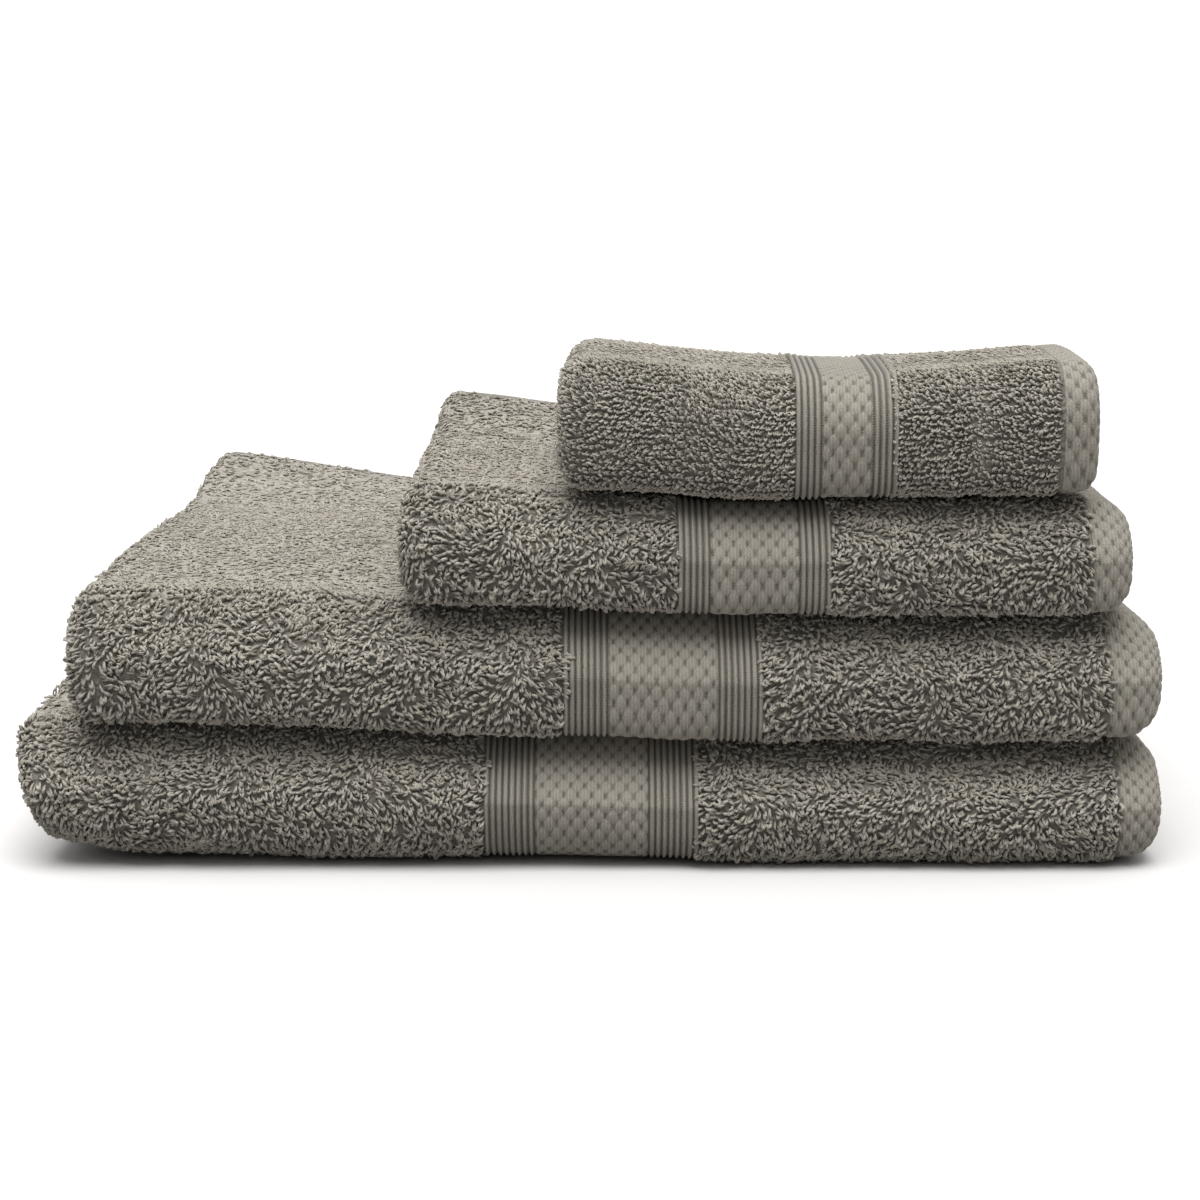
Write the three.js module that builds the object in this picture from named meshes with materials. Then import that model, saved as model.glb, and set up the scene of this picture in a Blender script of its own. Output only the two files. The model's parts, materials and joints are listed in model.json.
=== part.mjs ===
import * as THREE from 'three';
import { mergeVertices } from 'three/addons/utils/BufferGeometryUtils.js';

// A set of four terry towels, each folded and laid on the next, largest at the bottom.
// Units are millimetres. +X runs along the folded length, -Y is the folded front edge,
// +Z is up, and the stack stands on z = 0.
//
// Every towel is one long cloth. It is folded across its length into panels that lie
// on each other, and the pile of panels is then folded in half about its front edge.
// A point of a folded towel is given by
//   x  position along the folded length,
//   n  depth below the outside surface of the cloth pile,
//   s  station round the front fold, from the top back edge to the bottom back edge.

// ---- driving dimensions ----------------------------------------------------------

const restGap = 0.4;              // clearance between one towel and the next
const layerGap = 0.4;             // clearance between neighbouring layers of one cloth
const seamGap = 0.3;              // clearance where one weave changes to the next
const middleGap = 1.2;            // clearance between the upper and the lower half
const borderRecess = 1.1;         // the flat woven border lies below the terry loops
const hemRecess = 0.5;            // the flat woven hem lies a little below the loops
const curlRadius = 10.5;          // radius at which the end hem rolls round the end
const frontFacets = 14;           // flat facets round the front fold
const wrapFacets = 10;            // flat facets round a fold at an end

const towels = [
  {
    name: 'bath_sheet',
    length: 373.7,                // folded length
    depth: 450,                   // folded depth, half of the cloth's width
    height: 43.8,
    panels: 4,                    // panels the cloth is folded into along its length
    rightInset: 0,                // right end, measured in from the set's right side
    frontInset: 0,                // front fold, measured in from the set's front
    borderFromRight: 221,         // start of the border, measured from the right end
    borderWidth: 68.9,
    hemWidth: 20.5,               // end hem, measured along the cloth
    innerHemWidth: 20.5,
  },
  {
    name: 'bath_towel',
    length: 354.6,
    depth: 350,
    height: 41.4,
    panels: 4,
    rightInset: 1,
    frontInset: 0.5,
    borderFromRight: 194.3,
    borderWidth: 63.4,
    hemWidth: 24.5,
    innerHemWidth: 24.5,
  },
  {
    name: 'hand_towel',
    length: 235,
    depth: 250,
    height: 36.2,
    panels: 4,
    rightInset: 13.1,
    frontInset: 1,
    borderFromRight: 145.8,
    borderWidth: 48.2,
    hemWidth: 20,
    innerHemWidth: 20,
  },
  {
    name: 'guest_towel',
    length: 173.5,
    depth: 150,
    height: 38,
    panels: 3,
    rightInset: 25.1,
    frontInset: 2,
    borderFromRight: 97.2,
    borderWidth: 31.9,
    hemWidth: 17.5,
    innerHemWidth: 18,
  },
];

// Footprint of the whole set: it is centred on the origin.
const setWidth = Math.max(...towels.map((towel) => towel.length + towel.rightInset));
const setDepth = Math.max(...towels.map((towel) => towel.depth + towel.frontInset));

const finishes = {
  terry: { color: 0xa89f93, roughness: 0.97 },
  border: { color: 0x9c9387, roughness: 0.9 },
  hem: { color: 0xa0978b, roughness: 0.92 },
};

// ---- the cloth pile in section ---------------------------------------------------

// Clearances and layer depths that follow from one towel's own sizes.
function measure(towel) {
  const half = towel.height / 2;
  const pitch = (half - middleGap / 2 + layerGap) / towel.panels;
  const cloth = pitch - layerGap;
  const right = setWidth / 2 - towel.rightInset;
  const left = right - towel.length;
  const curl = Math.min(curlRadius, half - cloth / 2 - middleGap);
  return {
    half,
    pitch,
    cloth,
    right,
    left,
    curl,
    layer: (index) => cloth / 2 + index * pitch,
    curlStart: right - (cloth / 2 - hemRecess) - curl,
    borderStart: right - towel.borderFromRight,
    borderEnd: right - towel.borderFromRight + towel.borderWidth,
  };
}

// Middle line of a fold: a half turn from one layer to another at the left or right end.
// Each entry holds a point and the outward normal of the band there.
function halfTurn(centreX, centreN, radius, fromAngle, toAngle, turn) {
  const run = [];
  for (let i = 0; i <= wrapFacets; i += 1) {
    const angle = fromAngle + ((toAngle - fromAngle) * i) / wrapFacets;
    const normal = new THREE.Vector2(Math.cos(angle), Math.sin(angle));
    const point = new THREE.Vector2(centreX, centreN).addScaledVector(normal, radius);
    run.push({ point, normal: normal.multiplyScalar(turn) });
  }
  return run;
}

function straight(x, depth, normalN) {
  return { point: new THREE.Vector2(x, depth), normal: new THREE.Vector2(0, normalN) };
}

// Closed outline of a band of cloth that follows a middle line.
function bandShape(run, outer, inner) {
  const outside = run.map(({ point, normal }) => point.clone().addScaledVector(normal, outer));
  const inside = run.map(({ point, normal }) => point.clone().addScaledVector(normal, -inner));
  const outline = outside.concat(inside.reverse());
  return new THREE.Shape(outline.map((p) => new THREE.Vector2(p.x, -p.y)));
}

// ---- the front fold --------------------------------------------------------------

// Stations from the top back edge, round the front fold, to the bottom back edge.
function foldStations() {
  const stations = [{ leg: 1, angle: 0 }];
  for (let i = 0; i <= frontFacets; i += 1) {
    stations.push({ leg: 0, angle: (Math.PI * i) / frontFacets });
  }
  stations.push({ leg: 1, angle: Math.PI });
  return stations;
}

// Sweeps an outline round the front fold of a towel whose underside is at baseZ.
function sweepRoundFront(shape, towel, sizes, baseZ) {
  const stations = foldStations();
  const geometry = new THREE.ExtrudeGeometry(shape, {
    depth: stations.length - 1,
    steps: stations.length - 1,
    bevelEnabled: false,
  });
  const front = -setDepth / 2 + towel.frontInset;
  const axisY = front + sizes.half;
  const axisZ = baseZ + sizes.half;
  const legLength = towel.depth - sizes.half;
  const positions = geometry.getAttribute('position');
  for (let i = 0; i < positions.count; i += 1) {
    const station = stations[Math.round(positions.getZ(i))];
    const radius = sizes.half + positions.getY(i);
    const y = axisY - radius * Math.sin(station.angle) + legLength * station.leg;
    const z = axisZ + radius * Math.cos(station.angle);
    positions.setXYZ(i, positions.getX(i), y, z);
  }
  geometry.deleteAttribute('normal');
  geometry.deleteAttribute('uv');
  const joined = mergeVertices(geometry, 1e-4);
  joined.computeVertexNormals();
  return joined;
}

// ---- the pieces of one towel -----------------------------------------------------

// The main field of terry: the outside panel left of the border, the big fold at the
// left end and the innermost panel that it leads to.
function terryBodyRun(towel, sizes) {
  const inmost = sizes.layer(towel.panels - 1);
  const radius = (inmost - sizes.layer(0)) / 2;
  const wrapX = sizes.left + radius + sizes.cloth / 2;
  const wrap = halfTurn(wrapX, sizes.layer(0) + radius, radius, -Math.PI / 2, -Math.PI * 1.5, 1);
  const innerEnd = sizes.curlStart - seamGap;
  return [
    straight(sizes.borderStart - seamGap / 2, sizes.layer(0), -1),
    ...wrap,
    straight(innerEnd, inmost, 1),
  ];
}

// The inner panels: from the inner hem, round the folds inside the pile, to the fold at
// the right end that leads into the innermost panel.
function innerFoldRun(towel, sizes) {
  const last = towel.panels - 1;
  const endWrap = halfTurn(
    sizes.curlStart,
    (sizes.layer(last - 1) + sizes.layer(last)) / 2,
    sizes.pitch / 2,
    -Math.PI / 2,
    Math.PI / 2,
    1,
  );
  if (towel.panels === 3) {
    const start = innerHemX(towel, sizes) + towel.innerHemWidth + seamGap;
    return [straight(start, sizes.layer(1), -1), ...endWrap];
  }
  const innerWrap = halfTurn(
    leftInnerWrapX(sizes),
    (sizes.layer(1) + sizes.layer(2)) / 2,
    sizes.pitch / 2,
    -Math.PI / 2,
    -Math.PI * 1.5,
    -1,
  );
  const start = innerHemX(towel, sizes) - seamGap;
  return [
    straight(start, sizes.layer(1), 1),
    ...innerWrap,
    ...endWrap,
  ];
}

function leftInnerWrapX(sizes) {
  return sizes.left + sizes.cloth / 2 + sizes.pitch * 1.5;
}

// Left edge of the inner hem. A four-panel towel ends at the right, a three-panel
// towel ends at the left, inside the big fold.
function innerHemX(towel, sizes) {
  if (towel.panels === 3) {
    return sizes.left + sizes.cloth + sizes.pitch;
  }
  return sizes.curlStart - towel.innerHemWidth;
}

// The outer end hem: a short straight run, then the roll round the right end.
function hemRun(towel, sizes) {
  const rolled = (Math.PI / 2) * sizes.curl;
  const flat = Math.max(towel.hemWidth - rolled, seamGap * 2);
  const run = [straight(sizes.curlStart - flat, sizes.layer(0), -1)];
  const centreN = sizes.layer(0) + sizes.curl;
  return run.concat(halfTurn(sizes.curlStart, centreN, sizes.curl, -Math.PI / 2, 0, 1));
}

function towelPieces(towel, baseZ) {
  const sizes = measure(towel);
  const halfCloth = sizes.cloth / 2;
  const hem = hemRun(towel, sizes);
  const hemStart = hem[0].point.x;
  const innerHem = innerHemX(towel, sizes);
  const flatRun = (from, to, layer) => [
    straight(from, sizes.layer(layer), -1),
    straight(to, sizes.layer(layer), -1),
  ];
  const pieces = [
    ['terry_body', 'terry', terryBodyRun(towel, sizes), halfCloth],
    [
      'border',
      'border',
      flatRun(sizes.borderStart + seamGap / 2, sizes.borderEnd - seamGap / 2, 0),
      halfCloth - borderRecess,
    ],
    [
      'terry_end',
      'terry',
      flatRun(sizes.borderEnd + seamGap / 2, hemStart - seamGap, 0),
      halfCloth,
    ],
    ['end_hem', 'hem', hem, halfCloth - hemRecess],
    ['inner_fold', 'terry', innerFoldRun(towel, sizes), halfCloth],
    [
      'inner_hem',
      'hem',
      flatRun(innerHem, innerHem + towel.innerHemWidth, 1),
      halfCloth,
    ],
  ];
  return pieces.map(([label, finish, run, outer]) => {
    const shape = bandShape(run, outer, halfCloth);
    const material = new THREE.MeshStandardMaterial({ ...finishes[finish], metalness: 0 });
    const mesh = new THREE.Mesh(sweepRoundFront(shape, towel, sizes, baseZ), material);
    mesh.name = `${towel.name}_${label}`;
    return mesh;
  });
}

// ---- the stack -------------------------------------------------------------------

const stack = new THREE.Group();
stack.name = 'bath_towel_set';
let baseZ = 0;
for (const towel of towels) {
  stack.add(...towelPieces(towel, baseZ));
  baseZ += towel.height + restGap;
}

export default stack;
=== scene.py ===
"""A stack of four folded terry towels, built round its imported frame.

Each towel is one long cloth, folded across its length into panels and then in half about
its front edge. A point of the cloth is given by
    u  distance along the cloth from the outer end hem,
    v  distance across it, from the upper back edge round the front to the lower back edge,
    h  height above the middle of the cloth, towards the outside of the fold,
and Towel.place turns those three into a place in the stack. The cloth, its borders, hems
and every yarn loop are laid through that one fold.
"""

import json
import math

import bmesh
import bpy
import numpy as np
from bpy.props import FloatProperty, FloatVectorProperty, PointerProperty, StringProperty
from bpy.types import Operator, Panel, PropertyGroup
from mathutils import Matrix, Vector

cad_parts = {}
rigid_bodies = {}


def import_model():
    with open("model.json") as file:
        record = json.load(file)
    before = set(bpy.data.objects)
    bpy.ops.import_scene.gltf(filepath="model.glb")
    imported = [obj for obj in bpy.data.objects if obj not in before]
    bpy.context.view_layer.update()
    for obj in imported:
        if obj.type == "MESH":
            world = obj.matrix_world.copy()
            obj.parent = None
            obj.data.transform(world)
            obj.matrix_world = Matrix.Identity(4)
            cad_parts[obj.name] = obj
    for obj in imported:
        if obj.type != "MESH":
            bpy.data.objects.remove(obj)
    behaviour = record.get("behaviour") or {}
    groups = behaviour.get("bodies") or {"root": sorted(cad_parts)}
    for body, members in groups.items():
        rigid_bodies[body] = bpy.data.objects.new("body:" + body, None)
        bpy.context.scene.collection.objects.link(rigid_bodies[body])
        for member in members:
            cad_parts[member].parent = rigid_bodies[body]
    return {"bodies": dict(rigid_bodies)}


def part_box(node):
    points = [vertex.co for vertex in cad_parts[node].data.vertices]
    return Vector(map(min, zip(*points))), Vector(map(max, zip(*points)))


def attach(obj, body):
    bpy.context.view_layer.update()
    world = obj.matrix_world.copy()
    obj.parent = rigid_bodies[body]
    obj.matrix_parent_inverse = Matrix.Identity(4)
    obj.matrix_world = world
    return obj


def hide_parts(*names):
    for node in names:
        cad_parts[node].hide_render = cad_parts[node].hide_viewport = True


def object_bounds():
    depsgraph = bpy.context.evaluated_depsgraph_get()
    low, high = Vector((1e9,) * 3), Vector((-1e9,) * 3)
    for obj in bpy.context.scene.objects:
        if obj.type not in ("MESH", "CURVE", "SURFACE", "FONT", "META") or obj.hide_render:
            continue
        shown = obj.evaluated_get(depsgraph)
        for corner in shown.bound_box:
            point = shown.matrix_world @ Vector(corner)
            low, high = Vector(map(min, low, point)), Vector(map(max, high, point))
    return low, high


bl_info = {
    "name": "Folded Towel Stack",
    "version": (1, 0, 0),
    "blender": (4, 5, 0),
    "location": "View3D > Sidebar > Towels",
    "description": "Builds a stack of folded terry towels with woven borders",
    "category": "Object",
}

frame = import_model()
CAD_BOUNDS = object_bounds()

MM = 0.001
CLOTH_PARTS = ("terry_body", "terry_end", "inner_fold", "inner_hem")


# ---- shared helpers --------------------------------------------------------------


def smooth(t):
    """A soft step from 0 to 1."""
    t = np.clip(t, 0.0, 1.0)
    return t * t * (3.0 - 2.0 * t)


def bell(t):
    return np.exp(-t * t)


class Waves:
    """Gentle seeded unevenness over a surface, between about -1 and 1."""

    def __init__(self, seed, shortest, longest, count=10):
        rng = np.random.default_rng(seed)
        angle = rng.uniform(0, math.pi, count)
        number = 2 * math.pi / rng.uniform(shortest, longest, count)
        self.along = number * np.cos(angle)
        self.across = number * np.sin(angle)
        self.phase = rng.uniform(0, 2 * math.pi, count)

    def __call__(self, a, b):
        total = np.zeros(np.broadcast(a, b).shape)
        for ka, kb, phase in zip(self.along, self.across, self.phase):
            total += np.sin(ka * a + kb * b + phase)
        return total / math.sqrt(2.0 * len(self.phase))


def spread(first, last, spacing):
    """Evenly spaced stations from first to last, no further apart than spacing."""
    count = max(1, int(math.ceil(abs(last - first) / spacing)))
    return np.linspace(first, last, count + 1)


def joined(*runs):
    """One rising list of stations from several that meet end to end."""
    stations = np.concatenate(runs)
    keep = np.concatenate([[True], np.diff(stations) > 1e-6])
    return stations[keep]


# ---- how one towel is folded -----------------------------------------------------


class Towel:
    """Sizes of one folded towel, read from its solids, and the places of its cloth.
    The tables of shaping are in millimetres."""

    PANELS = {"bath_sheet": 4, "bath_towel": 4, "hand_towel": 4, "guest_towel": 3}
    # how far the back of a towel is turned towards +X, as a slope
    TURN = {"bath_sheet": 0.0, "bath_towel": -0.012, "hand_towel": -0.008, "guest_towel": 0.03}
    # springy rise of the uncovered cloth above the covered one, and of its back left corner
    RISE = {"bath_sheet": 2.0, "bath_towel": 1.5, "hand_towel": 1.5, "guest_towel": 0.0}
    CORNER = {"bath_sheet": 3.0, "bath_towel": 10.5, "hand_towel": 7.0, "guest_towel": 2.5}
    # how far the back of a towel, where its side hems lie, sinks below the front
    SINK = {"bath_sheet": 2.0, "bath_towel": 12.0, "hand_towel": 3.0, "guest_towel": 7.0}
    # dimples pressed into the front: x, height round the fold, depth, half width, half height
    DIMPLES = {
        "bath_sheet": [(-142, 2, 3.0, 7, 14), (-30, -14, 0.8, 20, 8), (110, 12, 1.0, 24, 9)],
        "bath_towel": [(-128, 14, 2.6, 12, 7), (-60, -6, 0.9, 22, 8), (90, 8, 0.8, 18, 10)],
        "hand_towel": [(-20, 9, 1.2, 16, 6), (110, -6, 0.8, 12, 9)],
        "guest_towel": [(122, -4, 1.1, 3.5, 22), (22, 8, 0.8, 12, 8)],
    }
    # how tightly the end hem rolls round, and how far the back of that end spreads
    CURL = {"bath_sheet": 10.5, "bath_towel": 13.0, "hand_towel": 9.5, "guest_towel": 5.0}
    FLARE = {"bath_sheet": 1.0, "bath_towel": 0.0, "hand_towel": 3.0, "guest_towel": 0.0}
    MIDDLE_GAP = 0.5 * MM
    WRAP_EASE = 0.4 * MM
    # shape of the front fold's lower and upper halves: 2 is round, more is squarer
    LOWER_SHAPE = {"bath_sheet": 3.0, "bath_towel": 5.5, "hand_towel": 5.5, "guest_towel": 4.5}
    UPPER_SHAPE = {"bath_sheet": 1.25, "bath_towel": 1.3, "hand_towel": 1.35, "guest_towel": 2.0}

    def __init__(self, name, above):
        self.name = name
        self.above = above
        self.panels = self.PANELS[name]
        self.seed = sum(ord(c) * (i + 1) for i, c in enumerate(name))
        body_low, body_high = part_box(name + "_terry_body")
        hem_low, hem_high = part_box(name + "_end_hem")
        border_low, border_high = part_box(name + "_border")
        self.left, self.right = body_low.x, hem_high.x
        self.front, self.back = body_low.y, body_high.y
        self.low, self.high = body_low.z, body_high.z
        self.border_x = (border_low.x, border_high.x)
        self.hem_x = hem_low.x
        self.half = (self.high - self.low) / 2
        self.pitch = (self.half - self.MIDDLE_GAP) / self.panels
        self.axis_y = self.front + self.half
        self.axis_z = (self.low + self.high) / 2
        self.arc = math.pi / 2 * self.half
        self.leg = self.back - self.axis_y
        self.width = 2 * (self.arc + self.leg)
        self.curl = self.CURL[name] * MM
        self.ripple = Waves(self.seed, 28 * MM, 120 * MM, 12)
        self.sway = Waves(self.seed + 1, 70 * MM, 260 * MM, 6)
        self.segments = self.lay_out()
        self.length = self.segments[-1][1]

    def depth(self, panel):
        """Depth of a panel's middle below the outside of the pile."""
        return (panel + 0.5) * self.pitch

    def lay_out(self):
        """The folded length as straight and round stretches, from the outer hem inwards.
        Each is (start u, end u, kind, centre x, centre depth, radius, turn)."""
        outer, inmost = self.depth(0), self.depth(self.panels - 1)
        next_in = self.depth(self.panels - 2)
        curl_x = self.right - self.curl - (outer - 0.4 * MM)
        wrap_radius = (inmost - outer) / 2
        wrap_x = self.left + wrap_radius + outer + self.WRAP_EASE
        end_x = min(curl_x - 0.5 * MM, self.right - 1.2 * self.pitch - 3 * MM)
        end_radius = (inmost - next_in) / 2
        inner_x = self.left + self.pitch * 2 + self.WRAP_EASE
        self.curl_x, self.wrap_x, self.end_x = curl_x, wrap_x, end_x
        plan = [
            ("hem", curl_x, outer + self.curl, self.curl, self.curl * math.pi / 2),
            ("out", curl_x, outer, 0, curl_x - wrap_x),
            ("wrap", wrap_x, outer + wrap_radius, wrap_radius, math.pi * wrap_radius),
            ("in", wrap_x, inmost, 0, end_x - wrap_x),
            ("end", end_x, (inmost + next_in) / 2, end_radius, math.pi * end_radius),
        ]
        if self.panels == 4:
            second = self.depth(1)
            radius = (next_in - second) / 2
            plan += [
                ("back", end_x, next_in, 0, end_x - inner_x),
                ("inner", inner_x, (next_in + second) / 2, radius, math.pi * radius),
                ("last", inner_x, second, 0, curl_x - inner_x),
            ]
        else:
            plan.append(("back", end_x, next_in, 0, end_x - self.left - 2.2 * self.pitch))
        segments, u = [], 0.0
        for kind, x, depth, radius, length in plan:
            segments.append((u, u + length, kind, x, depth, radius))
            u += length
        return segments

    def stretch(self, kind):
        """Start and end of one stretch, along the cloth."""
        return next(s[:2] for s in self.segments if s[2] == kind)

    def u_at(self, x):
        """Distance along the cloth of a point of the outer panel."""
        start, _ = self.stretch("out")
        return start + self.curl_x - x

    def section(self, u):
        """x, depth and outward normal of the middle of the cloth at u."""
        x, n = np.zeros_like(u), np.zeros_like(u)
        nx, nn = np.zeros_like(u), np.zeros_like(u)
        for i, (start, end, kind, cx, cn, radius) in enumerate(self.segments):
            last = i == len(self.segments) - 1
            here = (u >= start) & ((u < end) | last)
            if i == 0:
                here |= u < start
            d = u[here] - start
            if kind in ("out", "back"):
                x[here], n[here], nx[here], nn[here] = cx - d, cn, 0, -1
                continue
            if kind in ("in", "last"):
                x[here], n[here], nx[here], nn[here] = cx + d, cn, 0, 1
                continue
            a = d / radius
            ox, on = {
                "hem": (np.cos(a), -np.sin(a)),
                "wrap": (-np.sin(a), -np.cos(a)),
                "end": (np.sin(a), np.cos(a)),
                "inner": (-np.sin(a), np.cos(a)),
            }[kind]
            x[here], n[here] = cx + radius * ox, cn + radius * on
            side = -1 if kind == "inner" else 1
            nx[here], nn[here] = side * ox, side * on
        return x, n, nx, nn

    def lift(self, x, y):
        """How far the top of the towel stands above its level plane, in metres."""
        if self.above is None:
            free = np.ones(np.broadcast(x, y).shape)
        else:
            a = self.above
            out = np.maximum(np.maximum(a.left - x, y - a.back), np.maximum(x - a.right, 0))
            free = smooth(out / (26 * MM))
        corner = bell(np.hypot(x - self.left - 12 * MM, y - self.back + 10 * MM) / (55 * MM))
        ends = bell((x - self.left - 8 * MM) / (20 * MM))
        rise = self.RISE[self.name] * free + self.CORNER[self.name] * corner * free
        rise = rise + 1.2 * ends * free + 0.45 * self.sway(x, y) + self.tilt(x)
        backward = smooth((y - self.front - 60 * MM) / (self.back - self.front - 60 * MM))
        rise = rise - self.SINK[self.name] * backward
        if self.above is None:
            middle = sum(self.border_x) / 2
            rise = rise + 1.6 * smooth((middle - x) / (75 * MM))
            rise = rise + 5.5 * smooth((x - middle) / (85 * MM))
            rise = rise + 2.0 * bell((y - self.front - 50 * MM) / (45 * MM)) + 1.6
        low, high = self.border_x
        inside = smooth((x - low) / (6 * MM)) * smooth((high - x) / (6 * MM))
        return (rise - 0.7 * inside) * MM

    @staticmethod
    def tilt(x):
        """The stack is a little thicker towards its left end than towards its right, in mm."""
        return 3.2 * smooth((-35 * MM - x) / (75 * MM)) - 2.6 * smooth((x + 15 * MM) / (75 * MM))

    def underside(self, x, y):
        """How far the bottom of the towel stands above its level plane, in metres."""
        if self.below:
            return self.below.lift(x, y)
        edge = smooth((self.front + 26 * MM - y) / (26 * MM)) * smooth((45 * MM - x) / (60 * MM))
        end = 1.5 * smooth((-80 * MM - x) / (60 * MM)) + 4.5 * smooth((-145 * MM - x) / (38 * MM))
        return (2.6 * edge + end) * MM

    def place(self, u, v, h):
        """Where the point of the cloth at u, v and height h lies in the stack."""
        u, v, h = np.broadcast_arrays(*(np.asarray(q, float) for q in (u, v, h)))
        x, n, nx, nn = self.section(u)
        x, n = x + h * nx, n + h * nn
        w = v - self.width / 2
        angle = np.clip(w / self.half, -math.pi / 2, math.pi / 2)
        beyond = np.maximum(np.abs(w) - self.arc, 0)
        shape = np.where(angle > 0, self.LOWER_SHAPE[self.name], self.UPPER_SHAPE[self.name])
        reach = (np.abs(np.cos(angle)) ** shape + np.abs(np.sin(angle)) ** shape) ** (-1 / shape)
        radius = (self.half - n) * reach
        skin = smooth(1 - n / self.half)
        front = np.cos(angle) ** 2
        relief = 0.75 * self.ripple(x, w) * (0.25 + 0.75 * front)
        for dx, dw, deep, wide, tall in self.DIMPLES[self.name]:
            relief = relief - deep * bell((x / MM - dx) / wide) * bell((w / MM + dw) / tall)
        radius = radius + relief * skin * MM * smooth(radius / (6 * MM))
        stagger = (7.0 * (n / self.half) - 3.0 + 1.6 * self.sway(x * 1.7, n * 40)) * MM
        y = self.axis_y - radius * np.cos(angle) + beyond * (1 + stagger / self.leg)
        z = self.axis_z - radius * np.sin(angle)
        level = np.clip((z - self.low) / (self.high - self.low), -0.1, 1.1)
        z = z + level * self.lift(x, y) + (1 - level) * self.underside(x, y)
        back = smooth((y - self.front) / (self.back - self.front))
        toward_end = smooth((x - self.border_x[1]) / (self.right - self.border_x[1]))
        if not self.below:
            toward_left = smooth((self.left + 55 * MM - x) / (55 * MM))
            x = x + toward_left * (1.5 - 5.0 * (2 * level - 1)) * MM
        flare = self.FLARE[self.name] * MM
        x = x + self.TURN[self.name] * (y - self.front) + flare * back * toward_end
        if not self.below:
            z = np.maximum(z, 0.15 * MM)
        return np.stack([x, y, z], axis=-1)

    def frame_at(self, u, v, h):
        """Place, along-the-cloth, across-the-cloth and outward directions at u, v."""
        step = 0.4 * MM
        here = self.place(u, v, h)
        along = self.place(u + step, v, h) - here
        across = self.place(u, v + step, h) - here
        along /= np.linalg.norm(along, axis=-1, keepdims=True) + 1e-12
        out = np.cross(across, along)
        out /= np.linalg.norm(out, axis=-1, keepdims=True) + 1e-12
        outward = self.place(u, v, h + step) - here
        flip = np.sign(np.sum(out * outward, axis=-1, keepdims=True))
        out = out * np.where(flip == 0, 1, flip)
        across = np.cross(out, along)
        return here, along, across, out


def load_towels():
    """The four towels, from the bottom one up, each knowing its neighbours."""
    names = list(frame["bodies"])
    names.sort(key=lambda name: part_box(name + "_terry_body")[0].z)
    towels, above = [], None
    for name in reversed(names):
        towel = Towel(name, above)
        towels.insert(0, towel)
        above = towel
    below = None
    for towel in towels:
        towel.below = below
        below = towel
    return {towel.name: towel for towel in towels}


TOWELS = load_towels()


# ---- settings --------------------------------------------------------------------


class TowelSettings(PropertyGroup):
    """Sizes and colours of the towels and of the place where they are shown."""

    yarn_colour: FloatVectorProperty(
        name="Yarn colour", description="Colour of the dyed cotton yarn",
        subtype="COLOR", size=3, min=0, max=1, default=(0.368, 0.341, 0.291))
    loop_height: FloatProperty(
        name="Loop height", description="How far a pile loop stands off the ground weave",
        default=1.8 * MM, min=0.5 * MM, unit="LENGTH")
    yarn_radius: FloatProperty(
        name="Yarn radius", description="Radius of the twisted pile yarn",
        default=0.55 * MM, min=0.1 * MM, unit="LENGTH")
    front_loops: FloatProperty(
        name="Front loops", description="Loops on a square centimetre of the front fold",
        default=32.5, min=1)
    top_loops: FloatProperty(
        name="Top loops", description="Loops on a square centimetre of the uncovered top",
        default=16.0, min=1)
    hidden_loops: FloatProperty(
        name="Hidden loops", description="Loops on a square centimetre under another towel",
        default=1.2, min=0.5)
    ground_share: FloatProperty(
        name="Ground thickness", description="Ground weave of the outer panel, as a share of a layer",
        default=0.45, min=0.1, max=0.9)
    rib_height: FloatProperty(
        name="Rib height", description="Height of the ribs beside the honeycomb",
        default=0.95 * MM, unit="LENGTH")
    cell_height: FloatProperty(
        name="Cell height", description="Height of the honeycomb cells",
        default=0.8 * MM, unit="LENGTH")
    camera_distance: FloatProperty(
        name="Camera distance", description="From the camera to the front of the stack",
        default=0.7662, unit="LENGTH")
    camera_height: FloatProperty(
        name="Camera height", description="Height of the camera above the floor",
        default=0.243, unit="LENGTH")
    camera_tilt: FloatProperty(
        name="Camera tilt", description="How far the camera looks down",
        default=math.radians(11.285), subtype="ANGLE")
    lens: FloatProperty(
        name="Lens", description="Focal length of the camera, in millimetres", default=74.25)
    sky_light: FloatProperty(
        name="Sky light", description="Strength of the soft light from straight above", default=1.7)
    side_light: FloatProperty(
        name="Side light", description="Strength of the light from the sides", default=0.13)
    key_light: FloatProperty(
        name="Key light", description="Strength of the large softbox above the camera", default=2.45)
    key_height: FloatProperty(
        name="Key height", description="Angle of the softbox above the floor",
        default=math.radians(75), subtype="ANGLE")


# ---- materials -------------------------------------------------------------------

FULL_TURN = 2 * math.pi
PLIES, TWISTS = 2.0, 4.0        # plies in a pile yarn, and their turns along one loop
# painted shade: the ground between the loops is drawn darker than the yarn
PAINTED_GROUND_SHADE = 0.62             # how dark the bed of loop roots is beside the loops
WARP_PITCH = 1.1 * MM
WEFT_PITCH = 0.85 * MM


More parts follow.
